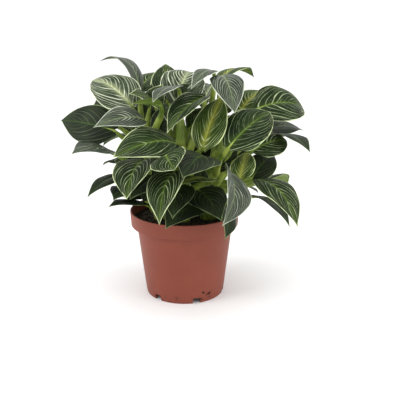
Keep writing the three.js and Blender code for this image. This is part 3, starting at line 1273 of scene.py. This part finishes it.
PALE, FRESH, STRIPED, DARK, GREY = Age
LEAVES = [
    LeafPlan("left", 174, (-47, -2, 228), (-91, 23, 253), (0.5, -0.1, 0.85), 30, 0.3, 0.2, GREY),
    LeafPlan("left", 160, (-52, -38, 215), (-95, -4, 236), (0.1, -0.6, 0.8), 48, 0.15, 0.2, PALE, 0.5),
    LeafPlan("left", 180, (-22, -54, 218), (-49, -66, 220), (0, 0.5, 0.85), 18, 0.1, 0.3, FRESH),
    LeafPlan("left", 152, (-40, -52, 204), (-83, -89, 202), (0, -0.7, 0.7), 28, 0.12, 0.3, GREY),
    LeafPlan("left", 140, (-74, -20, 187), (-134, 14, 191), (-0.2, -0.9, 0.5), 44, 0.1, 0.2, DARK),
    LeafPlan("left", 130, (-73, -30, 165), (-108, -74, 173), (0, -0.3, 1), 42, 0.12, 0.2, GREY),
    LeafPlan("left", 156, (-72, 10, 187), (-99, 44, 210), (0, -0.5, 0.8), 36, 0.1, 0.2, DARK),
    LeafPlan(
        "left", 122, (-38, -60, 164), (-51, -113, 139), (-0.35, -0.7, 0.6), 45, 0.14, 0.35, STRIPED, 0.3,
    ),
    LeafPlan("left", 113, (-65, -25, 139), (-97, -61, 125), (0, -0.1, 1), 24, 0.12, 0.2, DARK),
    LeafPlan("left", 98, (-51, -20, 122), (-70, -66, 124), (0, -0.2, 1), 38, 0.1, 0.2, DARK),
    LeafPlan("left", 90, (-36, -30, 108), (-75, -69, 118), (0, 0, 1), 36, 0.08, 0.2, DARK),
    LeafPlan("left", 106, (-24, -50, 143), (-50, -98, 134), (0, -0.3, 1), 42, 0.12, 0.2, DARK),
    LeafPlan("left", 164, (-49, 12, 222), (-28, 47, 239), (-0.3, -0.6, 0.7), 34, 0.1, 0.2, STRIPED),
    LeafPlan("left", 166, (-27, -20, 210), (-53, -48, 228), (0.1, -0.5, 0.9), 30, 0.12, 0.2, STRIPED),
    LeafPlan("centre", 140, (-8, -58, 181), (-63, -109, 178), (0.1, -0.6, 0.8), 44, 0.12, 0.2, STRIPED, 0.5),
    LeafPlan("centre", 112, (-8, -70, 155), (-20, -131, 120), (-0.35, -0.6, 0.9), 38, 0.14, 0.3, STRIPED),
    LeafPlan("centre", 122, (-15, -99, 178), (-6, -125, 170), (-0.2, -0.75, 0.6), 36, 0.12, 0.2, STRIPED, 1),
    LeafPlan("centre", 131, (22, -66, 169), (1, -118, 161), (0, -0.6, 0.8), 44, 0.14, 0.2, DARK, 0.4),
    LeafPlan("centre", 166, (21, -35, 223), (-15, -72, 193), (-0.45, -0.6, 0.65), 33, 0.1, 0.5, STRIPED),
    LeafPlan("centre", 150, (20, -57, 177), (41, -20, 223), (-0.2, -0.9, 0.4), 34, 0.1, 0.2, FRESH),
    LeafPlan("centre", 180, (-6, -14, 214), (6, 22, 242), (0, -0.7, 0.7), 46, 0.25, 0.2, PALE, 1),
    LeafPlan("centre", 174, (-5, -36, 233), (-28, -74, 223), (-0.3, -0.3, 0.9), 26, 0.12, 0.2, GREY),
    LeafPlan("centre", 172, (-18, 2, 215), (-21, 44, 249), (0, -0.6, 0.8), 34, 0.1, 0.2, STRIPED),
    LeafPlan("centre", 158, (-15, -18, 214), (-10, -56, 192), (0, -0.5, 0.8), 19, 0.16, 0.2, STRIPED),
    LeafPlan("centre", 102, (15, -45, 129), (38, -93, 111), (0, -0.4, 0.9), 42, 0.12, 0.2, DARK),
    LeafPlan("centre", 91, (13, -42, 113), (-17, -91, 102), (0, -0.3, 1), 38, 0.1, 0.2, DARK),
    LeafPlan("centre", 98, (-4, -52, 136), (-9, -105, 117), (0, -0.4, 0.9), 36, 0.12, 0.2, DARK),
    LeafPlan("centre", 118, (29, -46, 140), (-4, -87, 145), (0, 0, 1), 32, 0.08, 0.2, FRESH),
    LeafPlan("right", 140, (47, -60, 179), (89, -22, 206), (-0.2, -0.8, 0.6), 46, 0.1, 0.2, STRIPED, 0.8),
    LeafPlan("right", 147, (78, -10, 208), (130, 23, 202), (0, -0.7, 0.7), 48, 0.16, 0.2, STRIPED, 1),
    LeafPlan("right", 152, (60, 12, 200), (91, 52, 217), (-0.3, -0.6, 0.7), 40, 0.12, 0.2, FRESH, 0.5),
    LeafPlan("right", 158, (39, -22, 243), (51, -58, 210), (0.1, -0.7, 0.7), 33, 0.2, 0.2, GREY, 0.4),
    LeafPlan("right", 160, (40, 5, 237), (77, 39, 234), (0, 0.2, 1), 32, 0.2, 0.2, FRESH),
    LeafPlan("right", 168, (31, -10, 246), (8, -54, 233), (0.2, 0.15, 1), 20, 0.14, 0.2, GREY),
    LeafPlan("right", 132, (74, -20, 166), (111, 9, 170), (0, -0.7, 0.7), 36, 0.12, 0.2, STRIPED, 0.6),
    LeafPlan("right", 136, (88, 20, 178), (136, 56, 171), (0, -0.3, 1), 40, 0.12, 0.2, DARK),
    LeafPlan("right", 126, (105, 20, 173), (130, -37, 166), (0, 0.3, 1), 28, 0.12, 0.2, DARK),
    LeafPlan("right", 114, (57, -60, 145), (67, -26, 164), (-0.3, -0.9, 0.5), 26, 0.08, 0.2, FRESH, 0.5),
    LeafPlan("right", 120, (73, -10, 133), (100, 31, 150), (-0.2, -0.8, 0.5), 34, 0.1, 0.2, DARK),
    LeafPlan("right", 108, (87, 10, 124), (120, 45, 110), (0.3, 0.7, 0.7), 38, 0.16, 0.2, FRESH),
    LeafPlan("right", 112, (80, -35, 137), (113, -86, 102), (0.4, -0.5, 0.8), 42, 0.16, 0.2, STRIPED),
    LeafPlan("right", 98, (70, -10, 112), (109, -60, 93), (0.2, 0.2, 1), 32, 0.16, 0.2, DARK),
    LeafPlan("right", 104, (44, -72, 155), (37, -126, 117), (0.9, -0.4, 0.5), 41, 0.16, 0.5, GREY),
    LeafPlan("right", 92, (39, -46, 114), (41, -96, 93), (0.7, -0.3, 0.6), 28, 0.14, 0.2, DARK),
    LeafPlan("back", 160, (-30, 44, 205), (-62, 92, 200), (0, 0.3, 1), 44, 0.16, 0.2, STRIPED, 0.5),
    LeafPlan("back", 166, (5, 50, 215), (10, 108, 210), (0, 0.3, 1), 44, 0.18, 0.2, PALE),
    LeafPlan("back", 165, (41, 47, 200), (76, 93, 189), (0, 0.4, 1), 44, 0.16, 0.2, STRIPED),
    LeafPlan("back", 130, (-50, 35, 165), (-98, 72, 150), (-0.3, 0.4, 1), 44, 0.16, 0.2, DARK),
    LeafPlan("back", 138, (-20, 66, 178), (-37, 131, 152), (0, 0.5, 1), 46, 0.16, 0.2, STRIPED, 0.5),
    LeafPlan("back", 146, (27, 66, 172), (38, 131, 146), (0, 0.5, 1), 46, 0.16, 0.2, STRIPED),
    LeafPlan("back", 108, (-40, 42, 125), (-72, 97, 104), (-0.3, 0.5, 1), 44, 0.16, 0.2, DARK),
    LeafPlan("back", 100, (5, 52, 128), (0, 112, 100), (0, 0.5, 1), 46, 0.16, 0.2, DARK, 0.5),
    LeafPlan("back", 114, (45, 44, 125), (78, 97, 100), (0.3, 0.5, 1), 44, 0.16, 0.2, DARK),
    LeafPlan("back", 152, (60, 38, 162), (104, 82, 150), (0.3, 0.4, 1), 42, 0.15, 0.2, DARK),
]
# Small inner leaves that fill the crowns, beyond the ones in the frame.
INNER_LEAVES = [
    LeafPlan("centre", 150, (6, -6, 186), (29, -2, 208), (0, -0.9, 0.5), 24, 0.12, 0.2, STRIPED),
    LeafPlan("left", 150, (-26, -24, 186), (-14, -20, 215), (-0.2, -1, 0.3), 22, 0.12, 0.3, DARK),
    LeafPlan("left", 118, (-44, -22, 142), (-74, -16, 154), (0, -0.8, 0.6), 32, 0.12, 0.2, DARK),
    LeafPlan("left", 104, (-27, -30, 131), (-42, -44, 115), (-0.2, -0.7, 0.7), 28, 0.14, 0.25, DARK),
    LeafPlan("right", 128, (36, -14, 145), (58, -6, 162), (0, -0.9, 0.5), 24, 0.12, 0.2, DARK),
    LeafPlan("right", 96, (23, -24, 107), (41, -14, 129), (0, -0.9, 0.4), 24, 0.12, 0.2, DARK),
    LeafPlan("centre", 104, (-8, -34, 130), (-18, -40, 149), (-0.3, -0.9, 0.4), 22, 0.1, 0.3, STRIPED),
    LeafPlan("left", 172, (-35, -14, 209), (-21, -10, 233), (0, -0.9, 0.4), 22, 0.12, 0.3, STRIPED),
    LeafPlan("centre", 172, (-4, -14, 217), (9, -8, 233), (0, -0.9, 0.4), 22, 0.12, 0.3, DARK),
    LeafPlan("right", 150, (40, -10, 204), (50, -4, 224), (-0.2, -0.9, 0.4), 20, 0.12, 0.3, STRIPED),
    LeafPlan("back", 172, (-12, 34, 200), (-34, 62, 232), (0.3, 0.2, 1), 30, 0.14, 0.25, STRIPED),
    LeafPlan("back", 176, (22, 36, 204), (44, 66, 230), (-0.3, 0.2, 1), 30, 0.14, 0.25, PALE),
    LeafPlan("back", 120, (-16, 44, 150), (-30, 92, 150), (0, 0.3, 1), 36, 0.14, 0.2, DARK),
    LeafPlan("back", 124, (26, 44, 148), (44, 92, 142), (0, 0.3, 1), 36, 0.14, 0.2, DARK),
    LeafPlan("back", 108, (30, 38, 120), (60, 72, 124), (0.2, 0.2, 1), 32, 0.12, 0.2, DARK),
    LeafPlan("centre", 106, (-8, -34, 158), (-33, -50, 144), (-0.2, -0.8, 0.6), 34, 0.12, 0.2, DARK),
    LeafPlan("left", 96, (-34, -20, 122), (-69, -40, 128), (0, -0.3, 1), 26, 0.12, 0.2, DARK),
    LeafPlan("centre", 96, (13, -26, 128), (21, -24, 149), (0, -0.9, 0.4), 24, 0.1, 0.2, DARK),
    LeafPlan("right", 124, (58, 14, 152), (88, 46, 152), (0.1, 0.1, 1), 34, 0.14, 0.2, DARK),
    LeafPlan("right", 146, (62, 22, 190), (90, 44, 196), (0, -0.2, 1), 32, 0.14, 0.2, STRIPED),
    LeafPlan("left", 118, (-60, 6, 146), (-92, 24, 138), (0, 0, 1), 34, 0.14, 0.2, DARK),
    LeafPlan("left", 138, (-56, 18, 178), (-84, 44, 180), (0, 0, 1), 34, 0.14, 0.2, STRIPED),
    LeafPlan("left", 102, (-46, 10, 118), (-78, 34, 108), (-0.2, 0.2, 1), 34, 0.14, 0.2, DARK),
    LeafPlan("right", 100, (52, 16, 116), (84, 30, 104), (0.2, 0.2, 1), 34, 0.14, 0.2, DARK),
    LeafPlan("back", 140, (-24, 50, 180), (-56, 78, 180), (0, 0.3, 1), 34, 0.14, 0.2, STRIPED),
    LeafPlan("back", 142, (32, 50, 180), (62, 76, 182), (0, 0.3, 1), 34, 0.14, 0.2, STRIPED),
    LeafPlan("left", 150, (-34, 2, 191), (-54, 8, 210), (0, -0.9, 0.5), 26, 0.12, 0.2, DARK),
    LeafPlan("centre", 120, (15, 4, 147), (29, 10, 166), (0, -0.9, 0.4), 26, 0.1, 0.2, DARK),
    LeafPlan("left", 110, (-60, -16, 125), (-40, -30, 114), (0.1, -0.8, 0.6), 26, 0.1, 0.2, DARK),
]


@dataclass
class Foliage:
    """Every crown and leaf of the plant."""

    crowns: dict[str, Crown] = field(default_factory=lambda: {
        "left": Crown("left", (-24, -4), (-36, -13), 195),
        "centre": Crown("centre", (-2, -14), (0, -21), 197),
        "right": Crown("right", (26, -6), (38, -16), 178),
        "back": Crown("back", (4, 22), (6, 30), 186),
    })
    inner_across: int = 16
    inner_along: int = 32

    def build(self) -> Iterator[bpy.types.Object]:
        """Builds the crowns, then the leaves of the frame, then the small inner leaves.

        Yields:
            Each piece's object.
        """
        skin = STALK_FINISH.material()
        coats = {
            age: [BLADE_FINISHES[age].material(), UNDER_FINISHES[age].material(), skin] for age in Age
        }
        for crown in self.crowns.values():
            yield crown.build(skin)
            wraps = bmesh.new()
            for sheath in SHEATHS[crown.name]:
                sheath.add(wraps, crown)
            yield piece(f"{crown.name}_sheaths", wraps, [skin])
        counts = dict.fromkeys(self.crowns, 0)
        for number, plan in enumerate(LEAVES):
            counts[plan.crown] += 1
            node = f"{plan.crown}_leaf_{counts[plan.crown]:02d}"
            leaf = Leaf(plan, self.crowns[plan.crown], number)
            made = leaf.build(f"{node}_grown", coats[plan.age])
            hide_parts(node)
            self.compare(made, node)
            yield made
        for number, plan in enumerate(INNER_LEAVES, len(LEAVES)):
            crown = self.crowns[plan.crown]
            leaf = Leaf(plan, crown, number, across=self.inner_across, along=self.inner_along)
            yield leaf.build(f"inner_leaf_{number + 1 - len(LEAVES):02d}", coats[plan.age])

    @staticmethod
    def compare(made: bpy.types.Object, node: str) -> None:
        """Warns when a leaf leaves its frame node's box by more than a few millimetres.

        Args:
            made: the leaf's object.
            node: the frame node that it stands for.
        """
        low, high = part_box(node)
        points = [v.co for v in made.data.vertices]
        for axis in range(3):
            under = low[axis] - min(p[axis] for p in points)
            over = max(p[axis] for p in points) - high[axis]
            if max(under, over) > BOX_SLACK:
                LOG.warning("%s leaves its node's box by %.1f mm", node, max(under, over) / MM)


# ------------------------------------------------------------------ stage
@dataclass
class Studio:
    """A plain pale floor, soft light and the camera, in metres, degrees and watts."""

    distance: float = 0.75
    elevation: float = 17.33
    pitch: float = 16.6
    side_step: float = 0.017
    focal: float = 61.07
    sensor: float = 36
    clip_end: float = 100
    rim_height: float = 0.095
    floor_size: float = 40
    floor_white: float = 0.93
    sky: float = 1.1
    aim: Triple = (0, 0, 0.15)
    lamps: tuple[tuple[str, Triple, float, float], ...] = (
        ("key_lamp", (-1.5, -0.7, 1.1), 1.0, 15),
        ("fill_lamp", (1.6, -0.6, 0.9), 1.2, 11),
        ("top_lamp", (0.0, -0.2, 1.8), 1.3, 6),
    )

    def camera(self) -> None:
        """Places the camera, looking along the frame's +Y and a little down."""
        lens = bpy.data.cameras.new("camera")
        lens.lens = self.focal
        lens.sensor_width = self.sensor
        lens.clip_end = self.clip_end
        made = bpy.data.objects.new("camera", lens)
        angle = math.radians(self.elevation)
        made.location = (
            self.side_step,
            -self.distance * math.cos(angle),
            self.rim_height + self.distance * math.sin(angle),
        )
        made.rotation_euler = (math.radians(90 - self.pitch), 0, 0)
        bpy.context.scene.collection.objects.link(made)
        bpy.context.scene.camera = made

    def floor(self) -> None:
        """Lays the floor just under the pot."""
        shape = bmesh.new()
        bmesh.ops.create_grid(shape, x_segments=1, y_segments=1, size=self.floor_size / 2)
        mesh = bpy.data.meshes.new("floor")
        shape.to_mesh(mesh)
        shape.free()
        chart = NodeChart("floor_paper")
        mesh.materials.append(chart.dress((self.floor_white,) * 3, 0.8, 0.1))
        made = bpy.data.objects.new("floor", mesh)
        bpy.context.scene.collection.objects.link(made)

    def lamp(self, name: str, at: Triple, size: float, power: float) -> None:
        """Hangs a square soft lamp that points at the middle of the plant.

        Args:
            name: the lamp's name.
            at: its place in metres.
            size: the side of its square in metres.
            power: its power in watts.
        """
        light = bpy.data.lights.new(name, "AREA")
        light.size = size
        light.energy = power
        made = bpy.data.objects.new(name, light)
        made.location = at
        made.rotation_euler = (Vector(self.aim) - Vector(at)).to_track_quat("-Z", "Y").to_euler()
        bpy.context.scene.collection.objects.link(made)

    def light(self) -> None:
        """Sets the lamps and the pale surroundings."""
        for lamp in self.lamps:
            self.lamp(*lamp)
        world = bpy.data.worlds.new("studio")
        world.use_nodes = True
        background = world.node_tree.nodes["Background"]
        background.inputs["Color"].default_value = (1, 1, 1, 1)
        background.inputs["Strength"].default_value = self.sky
        bpy.context.scene.world = world
        bpy.context.scene.view_settings.view_transform = "Standard"

    def build(self) -> None:
        """Sets up the whole stage."""
        self.camera()
        self.floor()
        self.light()


def main() -> None:
    """Builds the stage and every piece."""
    logging.basicConfig(level=logging.INFO, format="%(name)s: %(message)s", stream=sys.stdout)
    Studio().build()
    pot = NurseryPot()
    makers: list[Iterator[bpy.types.Object]] = [iter([pot.build()]), RootBall(pot).build(), Foliage().build()]
    for made in (one for maker in makers for one in maker):
        LOG.info("%s: %d faces", made.name, len(made.data.polygons))


if __name__ == "__main__":
    main()
